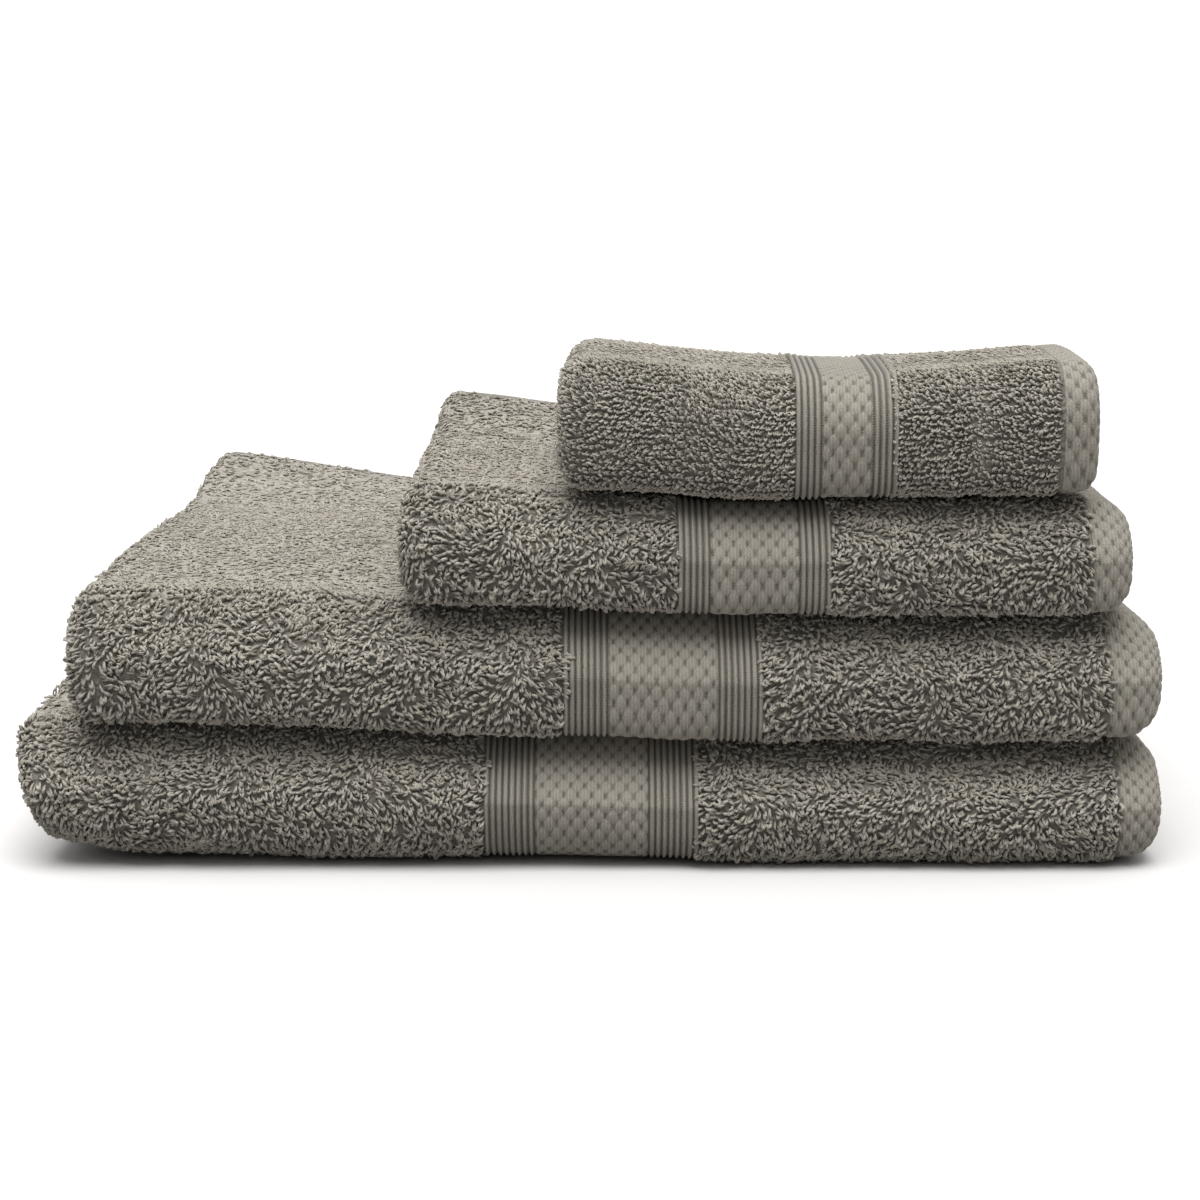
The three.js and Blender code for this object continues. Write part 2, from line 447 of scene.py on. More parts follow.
class Nodes:
    """A short way to write the nodes of a material or of the world."""

    def __init__(self, owner):
        owner.use_nodes = True
        self.owner = owner
        self.tree = owner.node_tree
        self.shader = self.tree.nodes.get("Principled BSDF")

    def add(self, kind, **values):
        node = self.tree.nodes.new(kind)
        for key, value in values.items():
            if hasattr(node, key):
                setattr(node, key, value)
            else:
                node.inputs[key.replace("_", " ")].default_value = value
        return node

    def link(self, source, target):
        self.tree.links.new(source, target)

    def attribute(self, name):
        return self.add("ShaderNodeAttribute", attribute_name=name).outputs["Fac"]

    def math(self, kind, a, b=0.0):
        node = self.add("ShaderNodeMath", operation=kind)
        for socket, value in zip(node.inputs, (a, b)):
            if isinstance(value, (int, float)):
                socket.default_value = value
            else:
                self.link(value, socket)
        return node.outputs[0]

    def scaled(self, value, low, high, to_low, to_high):
        node = self.add("ShaderNodeMapRange")
        self.link(value, node.inputs["Value"])
        ends = {"From Min": low, "From Max": high, "To Min": to_low, "To Max": to_high}
        for key, number in ends.items():
            node.inputs[key].default_value = number
        return node.outputs[0]

    def parts(self, vector):
        """The X, Y and Z of a vector."""
        node = self.add("ShaderNodeSeparateXYZ")
        self.link(vector, node.inputs[0])
        return node.outputs

    def noise(self, vector, scale, detail=2.0):
        node = self.add("ShaderNodeTexNoise")
        node.inputs["Scale"].default_value = scale
        node.inputs["Detail"].default_value = detail
        self.link(vector, node.inputs["Vector"])
        return node.outputs["Fac"]

    def bump(self, height, distance, strength=1.0, under=None):
        node = self.add("ShaderNodeBump")
        node.inputs["Distance"].default_value = distance
        node.inputs["Strength"].default_value = strength
        self.link(height, node.inputs["Height"])
        if under is not None:
            self.link(under, node.inputs["Normal"])
        return node.outputs["Normal"]

    def cotton(self, colour, sheen=0.35):
        """Sets the shader up as matt cotton and returns it."""
        s = self.shader.inputs
        s["Base Color"].default_value = (*colour, 1)
        s["Roughness"].default_value = 0.92
        s["Specular IOR Level"].default_value = 0.18
        s["Sheen Weight"].default_value = sheen
        s["Sheen Roughness"].default_value = 0.45
        return self.shader

    def tinted(self, colour, brightness):
        """The yarn colour, made lighter or darker by a value round 1."""
        grey = self.add("ShaderNodeCombineColor")
        for channel in grey.inputs[:3]:
            self.link(brightness, channel)
        factor, first, second, mixed = self.colour_mix("MULTIPLY")
        factor.default_value = 1.0
        first.default_value = (*colour, 1)
        self.link(grey.outputs[0], second)
        return mixed

    def colour_mix(self, blend):
        """Factor, first colour, second colour and result of a new mix of two colours."""
        node = self.add("ShaderNodeMix", data_type="RGBA", blend_type=blend)
        first, second = (socket for socket in node.inputs if socket.type == "RGBA")
        mixed = next(socket for socket in node.outputs if socket.type == "RGBA")
        return node.inputs["Factor"], first, second, mixed

    def finish(self, colour, light, normal):
        """Sets colour and surface of the cotton, and returns the material."""
        self.link(self.tinted(colour, light), self.shader.inputs["Base Color"])
        self.link(normal, self.shader.inputs["Normal"])
        return self.owner


def terry_loop_material(colour):
    """Twisted two-ply cotton, with painted shade towards the feet of each loop and painted light on the
    loops of the uncovered top.
    """
    m = Nodes(bpy.data.materials.new("terry_loops"))
    m.cotton(colour)
    place = m.add("ShaderNodeTexCoord").outputs["Object"]
    root = m.attribute("root")
    shade = m.attribute("shade")
    patch = m.noise(place, 38.0, 3.0)
    fibre = m.noise(place, 1500.0, 2.0)
    # painted light and shade: loops are drawn darker towards their feet and lighter on the uncovered
    # top
    light = m.scaled(root, 0.0, 1.0, 0.96, 1.3)
    light = m.math("MULTIPLY", light, m.scaled(shade, -1, 1, 0.84, 1.16))
    light = m.math("MULTIPLY", light, m.scaled(patch, 0.3, 0.7, 0.93, 1.07))
    light = m.math("MULTIPLY", light, m.scaled(fibre, 0.25, 0.75, 0.9, 1.1))
    yarn = m.parts(m.add("ShaderNodeUVMap", uv_map="yarn").outputs["UV"])
    along = m.math("MULTIPLY", yarn["X"], FULL_TURN * TWISTS)
    around = m.math("MULTIPLY", yarn["Y"], FULL_TURN * PLIES)
    ply = m.math("SINE", m.math("ADD", along, around))
    twist = m.bump(m.scaled(ply, -1, 1, 0, 1), 0.18 * MM, 0.45)
    return m.finish(colour, light, m.bump(fibre, 0.16 * MM, 0.6, twist))


def ground_material(colour):
    """The terry cloth under and between the loops: a bed of loop roots, drawn darker than the yarn as
    painted shade, and lighter as painted light away from the front fold.
    """
    m = Nodes(bpy.data.materials.new("terry_ground"))
    # painted shade: the ground colour is the yarn colour darkened, standing for the shade between the
    # loops
    deep = tuple(c * PAINTED_GROUND_SHADE for c in colour)
    m.cotton(deep)
    place = m.add("ShaderNodeTexCoord").outputs["Object"]
    cells = m.add("ShaderNodeTexVoronoi", feature="SMOOTH_F1")
    cells.inputs["Scale"].default_value = 520.0
    m.link(place, cells.inputs["Vector"])
    curls = m.noise(place, 900.0, 3.0)
    patch = m.noise(place, 40.0, 2.0)
    knob = m.scaled(cells.outputs["Distance"], 0.0, 0.75, 1.0, 0.0)
    height = m.math("ADD", knob, m.math("MULTIPLY", curls, 0.8))
    # painted light: the ground away from the front fold is drawn up to 2.2 times lighter
    painted_top_light = m.scaled(m.attribute("relief"), 0.0, 1.0, 2.2, 1.0)
    # partly painted shade: the ground is drawn darker in the hollows of its bumps and lighter on their
    # knobs
    light = m.scaled(height, 0.5, 1.5, 0.6, 1.3)
    light = m.math("MULTIPLY", light, m.scaled(patch, 0.3, 0.7, 0.94, 1.06))
    light = m.math("MULTIPLY", light, painted_top_light)
    return m.finish(deep, light, m.bump(height, 1.2 * MM))


def flat_weave_material(name, colour, brightness=1.0):
    """Flat woven cotton: fine warp threads along the band, and painted shade in the pits between cells
    and the grooves between ribs.
    """
    m = Nodes(bpy.data.materials.new(name))
    colour = tuple(c * brightness for c in colour)
    m.cotton(colour, 0.2)
    flat = m.add("ShaderNodeUVMap", uv_map="cloth").outputs["UV"]
    place = m.add("ShaderNodeTexCoord").outputs["Object"]
    cloth = m.parts(flat)
    relief = m.attribute("relief")
    wander = m.math("MULTIPLY", m.noise(flat, 420.0, 2.0), 7.0)
    warp = m.math("MULTIPLY", cloth["X"], FULL_TURN / WARP_PITCH)
    warp = m.math("SINE", m.math("ADD", warp, wander))
    weft = m.math("SINE", m.math("MULTIPLY", cloth["Y"], FULL_TURN / WEFT_PITCH))
    fibre = m.noise(place, 1800.0, 2.0)
    patch = m.noise(place, 45.0, 2.0)
    pit = m.scaled(relief, 0.0, 0.5, 1.0, 0.0)
    weft = m.math("MULTIPLY", m.math("MULTIPLY", weft, pit), 0.8)
    threads = m.math("ADD", m.math("MULTIPLY", warp, 0.7), weft)
    # painted shade: low relief, the pits and rib grooves, is drawn down to a third as bright
    light = m.scaled(relief, 0.05, 0.75, 0.3, 0.93)
    light = m.math("MULTIPLY", light, m.scaled(threads, -1, 1, 0.84, 1.16))
    light = m.math("MULTIPLY", light, m.scaled(fibre, 0.25, 0.75, 0.88, 1.12))
    light = m.math("MULTIPLY", light, m.scaled(patch, 0.3, 0.7, 0.94, 1.06))
    woven = m.bump(m.scaled(threads, -1, 1, 0, 1), 0.3 * MM, 0.8)
    return m.finish(colour, light, m.bump(fibre, 0.3 * MM, 0.9, woven))


def finish_material(key):
    """One shared material for each finish, made the first time it is wanted."""
    colour = tuple(bpy.context.scene.towel_stack.yarn_colour)
    makers = {
        "terry_loops": lambda: terry_loop_material(colour),
        "terry_ground": lambda: ground_material(colour),
        "border_weave": lambda: flat_weave_material("border_weave", colour),
        "hem_weave": lambda: flat_weave_material("hem_weave", colour, 1.03),
        "side_hem_weave": lambda: flat_weave_material("side_hem_weave", colour, 0.92),
    }
    return bpy.data.materials.get(key) or makers[key]()


# ---- meshes ----------------------------------------------------------------------


def add_object(name, mesh, material, body):
    """Puts a mesh in the scene as a piece that rides on one towel's body."""
    piece = bpy.data.objects.new(name, mesh)
    bpy.context.scene.collection.objects.link(piece)
    piece.data.materials.append(finish_material(material))
    mesh.shade_smooth()
    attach(piece, body)
    return piece


def plain_grid(name, us, vs):
    """A flat grid with a line at each station of us and vs, and each point's column and row."""
    bm = bmesh.new()
    bmesh.ops.create_grid(bm, x_segments=len(us) - 1, y_segments=len(vs) - 1, size=0.5)
    mesh = bpy.data.meshes.new(name)
    bm.to_mesh(mesh)
    bm.free()
    flat = np.empty(len(mesh.vertices) * 3)
    mesh.vertices.foreach_get("co", flat)
    flat = flat.reshape(-1, 3)
    column = np.rint((flat[:, 0] + 0.5) * (len(us) - 1)).astype(int)
    row = np.rint((flat[:, 1] + 0.5) * (len(vs) - 1)).astype(int)
    return mesh, column, row


def write_attribute(mesh, name, values):
    layer = mesh.attributes.new(name, "FLOAT", "POINT")
    layer.data.foreach_set("value", values.astype(np.float32))


def write_uv(mesh, name, pairs):
    mesh.uv_layers.new(name=name).data.foreach_set("uv", pairs.ravel())


def write_cloth_uv(mesh, a, b):
    """Lays out the cloth by two distances that are given for each point."""
    corners = np.empty(len(mesh.loops), int)
    mesh.loops.foreach_get("vertex_index", corners)
    write_uv(mesh, "cloth", np.stack([a[corners], b[corners]], axis=1))


def woven_patch(name, towel, us, vs, height, relief):
    """A grid of cloth with a line at each station of us and vs, laid through the fold."""
    mesh, column, row = plain_grid(name, us, vs)
    u, v = us[column], vs[row]
    h = height(column, u, v) if callable(height) else np.full(len(u), height)
    mesh.vertices.foreach_set("co", towel.place(u, v, h).ravel())
    write_attribute(mesh, "relief", relief(column, u, v))
    write_cloth_uv(mesh, u, v)
    outward_faces(mesh, towel, u, v, h)
    mesh.update()
    return mesh, u


def outward_faces(mesh, towel, u, v, h):
    """Turns the faces so that they point to the outside of the fold."""
    middle = len(mesh.polygons) // 2
    face = mesh.polygons[middle]
    near = face.vertices[0]
    above, here = (towel.place(u[near], v[near], h[near] + up) for up in (0.2 * MM, 0.0))
    mesh.update()
    if face.normal.dot(Vector(above - here)) < 0:
        mesh.flip_normals()


def rows_round_front(towel, front_step, free_step, hidden_step, lower_step):
    """Stations across the cloth: close together on the front and wherever it is seen."""
    edge = towel.above.back if towel.above else towel.front
    middle = towel.width / 2
    free_end = max(0.0, towel.back - max(edge, towel.axis_y) + 4 * MM)
    free_end = min(free_end, towel.leg)
    return joined(
        spread(0, free_end, free_step),
        spread(free_end, towel.leg, hidden_step) if free_end < towel.leg - MM else [free_end],
        spread(towel.leg, middle + towel.arc, front_step),
        spread(middle + towel.arc, towel.width, lower_step),
    )


# ---- the woven patterns ----------------------------------------------------------

CELL_PITCH = 4.56 * MM
CELL_ROW = 3.7 * MM
CELL_HALF = (1.92 * MM, 2.95 * MM)
RIB_PITCH = 2.05 * MM
SLACK = Waves(5, 9 * MM, 30 * MM, 8)


def honeycomb(a, b):
    """Relief of the honeycomb, 0 in the pits and 1 on the crown of a cell."""
    a = a + 0.22 * MM * SLACK(a, b)
    b = b + 0.3 * MM * SLACK(b + 0.3, a)
    best = np.zeros(a.shape)
    nearest = np.rint(b / CELL_ROW)
    for step in (-1, 0, 1):
        row = nearest + step
        shift = 0.5 * (np.mod(row, 2))
        column = np.rint(a / CELL_PITCH - shift)
        da = np.abs(a - (column + shift) * CELL_PITCH) / CELL_HALF[0]
        db = np.abs(b - row * CELL_ROW) / CELL_HALF[1]
        best = np.maximum(best, np.clip(1 - db ** 2, 0, 1) ** 1.3 - da ** 2)
    return np.sqrt(np.clip(best, 0, 1))


def ribs(a):
    """Relief of fine round ribs with open grooves between them."""
    t = np.mod(a / RIB_PITCH, 1.0) * 2 - 1
    return 0.5 + 0.5 * np.cos(math.pi * t)


# ---- operators -------------------------------------------------------------------


class TowelOperator:
    """What the operators that make a piece of one towel share."""

    bl_options = {"REGISTER", "UNDO"}
    towel: StringProperty(name="Towel", description="Body of the towel to build", default="")

    def execute(self, context):
        if self.towel not in TOWELS:
            raise ValueError(f"there is no towel named {self.towel!r}")
        self.build(TOWELS[self.towel], context.scene.towel_stack)
        return {"FINISHED"}


class TOWEL_OT_stage(Operator):
    """Set the camera, the pale floor and the soft light"""

    bl_idname = "towel_stack.stage"
    bl_label = "Stage"
    bl_options = {"REGISTER", "UNDO"}
    FLOOR_LIGHT = (0.37, 0.365, 0.36, 1)    # the floor's colour for the light it throws back
    FLOOR_SEEN = (0.8, 0.785, 0.775, 1)     # and as the camera sees it
    SOFTBOX_WIDTH = math.radians(48)
    SOFTBOX_TURN = math.radians(-10)

    def execute(self, context):
        settings = context.scene.towel_stack
        self.add_camera(context, settings)
        self.add_floor(context)
        self.add_light(context, settings)
        return {"FINISHED"}

    def add_camera(self, context, settings):
        data = bpy.data.cameras.new("camera")
        data.lens = settings.lens
        data.sensor_width = 36
        data.clip_start = 0.01
        camera = bpy.data.objects.new("camera", data)
        context.scene.collection.objects.link(camera)
        front = CAD_BOUNDS[0][1]
        camera.location = (0.003, front - settings.camera_distance, settings.camera_height)
        camera.rotation_euler = (math.pi / 2 - settings.camera_tilt, 0, 0)
        context.scene.camera = camera

    def add_floor(self, context):
        bm = bmesh.new()
        bmesh.ops.create_grid(bm, x_segments=8, y_segments=8, size=6.0)
        mesh = bpy.data.meshes.new("floor")
        bm.to_mesh(mesh)
        bm.free()
        m = Nodes(bpy.data.materials.new("pale_floor"))
        shader = m.shader.inputs
        factor, lit, seen, mixed = m.colour_mix("MIX")
        lit.default_value = self.FLOOR_LIGHT
        seen.default_value = self.FLOOR_SEEN
        m.link(m.add("ShaderNodeLightPath").outputs["Is Camera Ray"], factor)
        m.link(mixed, shader["Base Color"])
        shader["Roughness"].default_value = 0.75
        shader["Specular IOR Level"].default_value = 0.1
        mesh.materials.append(m.owner)
        floor = bpy.data.objects.new("floor", mesh)
        context.scene.collection.objects.link(floor)

    def add_light(self, context, settings):
        context.scene.view_settings.view_transform = "Standard"
        softbox = bpy.data.lights.new("softbox", "SUN")
        softbox.energy = settings.key_light
        softbox.angle = self.SOFTBOX_WIDTH
        lamp = bpy.data.objects.new("softbox", softbox)
        lamp.rotation_euler = (math.pi / 2 - settings.key_height, 0, self.SOFTBOX_TURN)
        context.scene.collection.objects.link(lamp)
        self.add_sky(context, settings)

    def add_sky(self, context, settings):
        """Soft light that grows towards straight above; the camera sees it plain white."""
        context.scene.world = bpy.data.worlds.new("soft_studio")
        m = Nodes(context.scene.world)
        m.tree.nodes.clear()
        ramp = m.add("ShaderNodeValToRGB")
        stops = ramp.color_ramp.elements
        levels = (
            (-1.0, 0.02), (-0.04, 0.05), (0.08, settings.side_light * 0.7),
            (0.35, settings.side_light * 2.6), (0.7, settings.sky_light * 0.55),
            (1.0, settings.sky_light))
        for rise, strength in levels:
            stop = stops[0] if rise == -1.0 else stops[-1] if rise == 1.0 else stops.new((rise + 1) / 2)
            share = strength / settings.sky_light
            stop.color = (share, share, share, 1)
        upward = m.parts(m.add("ShaderNodeTexCoord").outputs["Generated"])["Z"]
        m.link(m.scaled(upward, -1.0, 1.0, 0.0, 1.0), ramp.inputs["Fac"])
        sky = m.add("ShaderNodeBackground")
        m.link(m.math("MULTIPLY", ramp.outputs["Color"], settings.sky_light), sky.inputs["Strength"])
        plain = m.add("ShaderNodeBackground", Color=(1, 1, 1, 1), Strength=1.05)
        mix = m.add("ShaderNodeMixShader")
        m.link(m.add("ShaderNodeLightPath").outputs["Is Camera Ray"], mix.inputs[0])
        m.link(sky.outputs[0], mix.inputs[1])
        m.link(plain.outputs[0], mix.inputs[2])
        m.link(mix.outputs[0], m.add("ShaderNodeOutputWorld").inputs[0])


class TOWEL_OT_cloth(TowelOperator, Operator):
    """Fold one towel's whole cloth"""

    bl_idname = "towel_stack.cloth"
    bl_label = "Folded cloth"
    LOFT = 0.86     # thickness of a stacked layer of cloth, as a share of the layers' pitch

    def build(self, towel, settings):
        us = self.length_stations(towel)
        arc_start = towel.width / 2 - towel.arc
        vs = joined(
            spread(0, arc_start, 13 * MM),
            spread(arc_start, towel.width - arc_start, 3.4 * MM),
            spread(towel.width - arc_start, towel.width, 13 * MM),
        )

        # share of the front fold; the ground material draws the cloth outside it lighter as painted
        # light
        def front_share(column, u, v):
            return smooth((towel.arc + 3 * MM - np.abs(v - towel.width / 2)) / (14 * MM))

        mesh, u = woven_patch(towel.name + "_cloth", towel, us, vs, 0.0, front_share)
        cloth = add_object(mesh.name, mesh, "terry_ground", towel.name)
        self.thicken(cloth, towel, settings, u)
        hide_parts(*(f"{towel.name}_{part}" for part in CLOTH_PARTS))

    def length_stations(self, towel):
        seen = {"hem": 2 * MM, "out": 9 * MM, "wrap": 2.2 * MM, "end": 1.2 * MM, "inner": 1.4 * MM}
        runs = [spread(start, end, seen.get(kind, 24 * MM)) for start, end, kind, *_ in towel.segments]
        return joined(*runs)

    def thicken(self, cloth, towel, settings, u):
        """Gives the cloth its thickness: thin under the loops, full where it is stacked."""
        wrap_start, wrap_end = towel.stretch("wrap")
        inside = (u - wrap_start) / (wrap_end - wrap_start)
        under_loops = (u < wrap_start) | ((inside >= 0) & (inside <= 1))
        right, left = (towel.u_at(x) for x in reversed(towel.border_x))
        share = np.where(under_loops, settings.ground_share / self.LOFT, 1.0)
        share = np.where(u < towel.u_at(towel.hem_x), 0.3, share)
        share = np.where((u > right) & (u < left), 0.4, share)
        group = cloth.vertex_groups.new(name="loft")
        for value in np.unique(share):
            members = np.flatnonzero(share == value)
            group.add(members.tolist(), float(value), "REPLACE")
        solid = cloth.modifiers.new("thickness", "SOLIDIFY")
        solid.thickness = self.LOFT * towel.pitch
        solid.offset = 0.0
        solid.vertex_group = group.name
        solid.thickness_vertex_group = 0.0
        solid.use_rim = True


class TOWEL_OT_border(TowelOperator, Operator):
    """Weave one towel's flat border: ribs, honeycomb and ribs"""

    bl_idname = "towel_stack.border"
    bl_label = "Woven border"
    RIB_SHARE = 0.225

    def build(self, towel, settings):
        start, end = towel.u_at(towel.border_x[1]), towel.u_at(towel.border_x[0])
        start, end = start - 0.6 * MM, end + 0.6 * MM
        band = round((end - start) * self.RIB_SHARE / RIB_PITCH) * RIB_PITCH
        inner, outer = start + band, end - band
        us = joined(
            spread(start, inner, RIB_PITCH / 6),
            spread(inner, outer, 0.56 * MM),
            spread(outer, end, RIB_PITCH / 6),
        )
        vs = rows_round_front(towel, 0.66 * MM, 1.1 * MM, 7 * MM, 12 * MM)
        gap = np.gradient(vs)
        middle = towel.width / 2
        across = (inner + outer) / 2

        # relief of the weave, 0 in pits and grooves: it raises the cloth and also sets the painted
        # shade in them
        def pattern(column, u, v):
            # cells only where the rows are close enough to show them
            fine = 1 - smooth((np.interp(v, vs, gap) - 1.6 * MM) / (1.5 * MM))
            cells = (0.2 + 0.8 * honeycomb(u - across, v - middle)) * fine + 0.6 * (1 - fine)
            edge = smooth(np.minimum(u - inner, outer - u) / (0.9 * MM))
            ribbed = np.where(u < (start + end) / 2, ribs(u - start), ribs(u - outer))
            return np.where((u > inner) & (u < outer), cells * edge, ribbed)

        def height(column, u, v):
            base = settings.ground_share * towel.pitch / 2 - 0.1 * MM
            tall = np.where((u > inner) & (u < outer), settings.cell_height, settings.rib_height)
            raised = base + 0.35 * MM + tall * pattern(column, u, v)
            rim = (column == 0) | (column == len(us) - 1)
            return np.where(rim, base - 1.0 * MM, raised)

        mesh, _ = woven_patch(towel.name + "_border_weave", towel, us, vs, height, pattern)
        piece = add_object(mesh.name, mesh, "border_weave", towel.name)
        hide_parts(towel.name + "_border")


class TOWEL_OT_end_hem(TowelOperator, Operator):
    """Turn and weave one towel's honeycomb end hem, rolled round the right end"""

    bl_idname = "towel_stack.end_hem"
    bl_label = "End hem"

    def build(self, towel, settings):
        width = towel.u_at(towel.hem_x) + 0.5 * MM
        surface = spread(width, 0, 0.55 * MM)
        turn = 4
        under = spread(0, width, 4 * MM)[1:]
        us = np.concatenate([surface, np.zeros(turn), under])
        count, last = len(surface), len(us) - 1
        vs = rows_round_front(towel, 0.68 * MM, 1.0 * MM, 2.2 * MM, 2.2 * MM)
        middle = towel.width / 2
        top, bottom = 0.7 * MM, -1.1 * MM

        # relief of the hem's weave: it raises the cloth and also sets the painted shade in its pits
        def pattern(column, u, v):
            cells = 0.2 + 0.8 * honeycomb(u - width / 2, v - middle)
            edge = smooth((width - u - 0.6 * MM) / (1.2 * MM)) * smooth(u / (1.5 * MM))
            return np.where(column < count, np.maximum(cells * edge, 0.5 * (1 - edge)), 0.5)

        def height(column, u, v):
            raised = top + settings.cell_height * pattern(column, u, v)
            share = np.clip((column - count + 1) / (turn + 1), 0, 1)
            h = raised * (1 - share) + bottom * share
            rim = (column == 0) | (column == last)
            return np.where(rim, -0.5 * MM, h)

        # the turned edge bulges past the end of the cloth
        bulge = np.zeros(len(us))
        for step in range(turn):
            bulge[count + step] = -1.1 * MM * math.sin(math.pi * (step + 1) / (turn + 1))
        mesh, _ = woven_patch(
            towel.name + "_end_hem_weave", towel, us + bulge, vs, height, pattern)
        piece = add_object(mesh.name, mesh, "hem_weave", towel.name)
        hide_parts(towel.name + "_end_hem")


class TOWEL_OT_side_hems(TowelOperator, Operator):
    """Turn the narrow side hems along both long edges of one towel's cloth"""

    bl_idname = "towel_stack.side_hems"
    bl_label = "Side hems"
    DEPTH, ROLL, STITCH = 8 * MM, 1.35 * MM, 3.2 * MM

    def build(self, towel, settings):
        full = {"hem": 2 * MM, "wrap": 2.4 * MM, "end": 1.4 * MM, "inner": 1.4 * MM}
        us = joined(*(spread(s, e, full.get(k, 7 * MM)) for s, e, k, *_ in towel.segments))
        for label, edge, way in (("upper", 0.0, 1.0), ("lower", towel.width, -1.0)):
            around = np.linspace(-math.pi / 2, math.pi / 2, 7)
            bulge = -0.3 * MM - 0.8 * self.ROLL * np.cos(around)
            vs = edge + way * np.concatenate([[self.DEPTH], bulge, [self.DEPTH]])
            hs = np.concatenate([[-0.6 * MM], self.ROLL * np.sin(around), [0.6 * MM]])
            self.strip(f"{towel.name}_side_hem_{label}", towel, us, vs, hs)

    def strip(self, name, towel, us, vs, hs):
        """One turned edge, its section given by vs and hs and stitched along its length."""
        mesh, column, row = plain_grid(name, us, vs)
        u, v, h = us[column], vs[row], hs[row]
        stitch = 0.18 * MM * np.sin(FULL_TURN * u / self.STITCH)
        mesh.vertices.foreach_set("co", towel.place(u, v, h + stitch).ravel())
        # a flat relief, which the weave material turns into an even painted shade over the hem
        write_attribute(mesh, "relief", np.full(len(u), 0.55))
        write_cloth_uv(mesh, v, u)
        bm = bmesh.new()
        bm.from_mesh(mesh)
        bmesh.ops.recalc_face_normals(bm, faces=bm.faces)
        bm.to_mesh(mesh)
        bm.free()
        add_object(name, mesh, "side_hem_weave", towel.name)


# ---- the pile --------------------------------------------------------------------


def yarn_loop(width, lean, span, bow, height, radius, rings, sides):
    """One loop of yarn from foot to foot: its points, faces and yarn coordinates.
    It stands width apart, leans over, and may arch along its span with a sideways bow."""
    def middle(t):
        swell = math.sin(math.pi * t)
        ahead = lean * swell ** 1.2 + span * t
        return Vector((ahead, width * math.cos(math.pi * t) + bow * swell, height * swell ** 0.75))

    def frame_on(t):
        ahead = middle(min(t + 0.04, 1.0)) - middle(max(t - 0.04, 0.0))
        turn = ahead.to_track_quat("Z", "X").to_matrix().to_4x4()
        thick = 0.75 + 0.25 * math.sin(math.pi * t)
        return Matrix.Translation(middle(t)) @ turn @ Matrix.Scale(thick, 4)

    bm = bmesh.new()
    ring = bmesh.ops.create_circle(bm, segments=sides, radius=radius)["verts"]
    edges = list(bm.edges)
    place = frame_on(0.0)
    bmesh.ops.transform(bm, matrix=place, verts=ring)
    for i in range(1, rings):
        made = bmesh.ops.extrude_edge_only(bm, edges=edges)["geom"]
        verts = [g for g in made if isinstance(g, bmesh.types.BMVert)]
        edges = [g for g in made if isinstance(g, bmesh.types.BMEdge)
                 and all(v in verts for v in g.verts)]
        target = frame_on(i / (rings - 1))
        bmesh.ops.transform(bm, matrix=target @ place.inverted(), verts=verts)
        place = target
    bmesh.ops.holes_fill(bm, edges=[e for e in bm.edges if e.is_boundary], sides=0)
    bmesh.ops.recalc_face_normals(bm, faces=bm.faces)
    bm.verts.ensure_lookup_table()
    points = np.array([v.co for v in bm.verts])
    faces = [[v.index for v in f.verts] for f in bm.faces]
    bm.free()
    share = np.arange(len(points)) // sides / (rings - 1)
    side = np.arange(len(points)) % sides / sides
    corners = np.concatenate(faces)
    seam = np.concatenate([
        [1.0 if side[k] == 0 and max(side[j] for j in f) > 0.7 else 0.0 for k in f] for f in faces])
    yarn = np.stack([share[corners], side[corners] + seam], axis=1)
    return {
        "points": points,
        "corners": corners,
        "sizes": np.array([len(f) for f in faces]),
        "yarn": yarn,
        # height along the loop, 0 at the feet: it sets the painted shade at the loop's feet
        "root": np.sin(math.pi * share) ** 0.7,
    }


def loop_kinds(settings, fine, upright):
    """A few different loops, dealt out at random over the pile."""
    rings, sides = (6, 3) if fine else (5, 3)
    r, tall = settings.yarn_radius, settings.loop_height
    shapes = (
        (0.1, 0.3, 2.7, 0.55, 0.8), (0.1, 0.2, 2.2, -0.5, 1.0), (0.55, 2.3, 0.4, 0.2, 0.9),
        (0.15, 0.6, 3.1, -0.35, 0.7), (0.6, 1.6, 0.6, 0.0, 1.1), (0.1, 0.5, 2.5, 0.8, 0.9))
    if upright:
        shapes = (
            (0.62, 1.9, 0.2, 0.1, 1.0), (0.7, 1.5, 0.3, 0.0, 1.1), (0.1, 0.3, 2.0, 0.5, 1.0),
            (0.75, 2.1, 0.1, -0.1, 0.9), (0.1, 0.4, 2.4, -0.6, 0.9))
    return [
        yarn_loop(*(size * MM for size in sizes), share * tall, r, rings, sides)
        for *sizes, share in shapes]


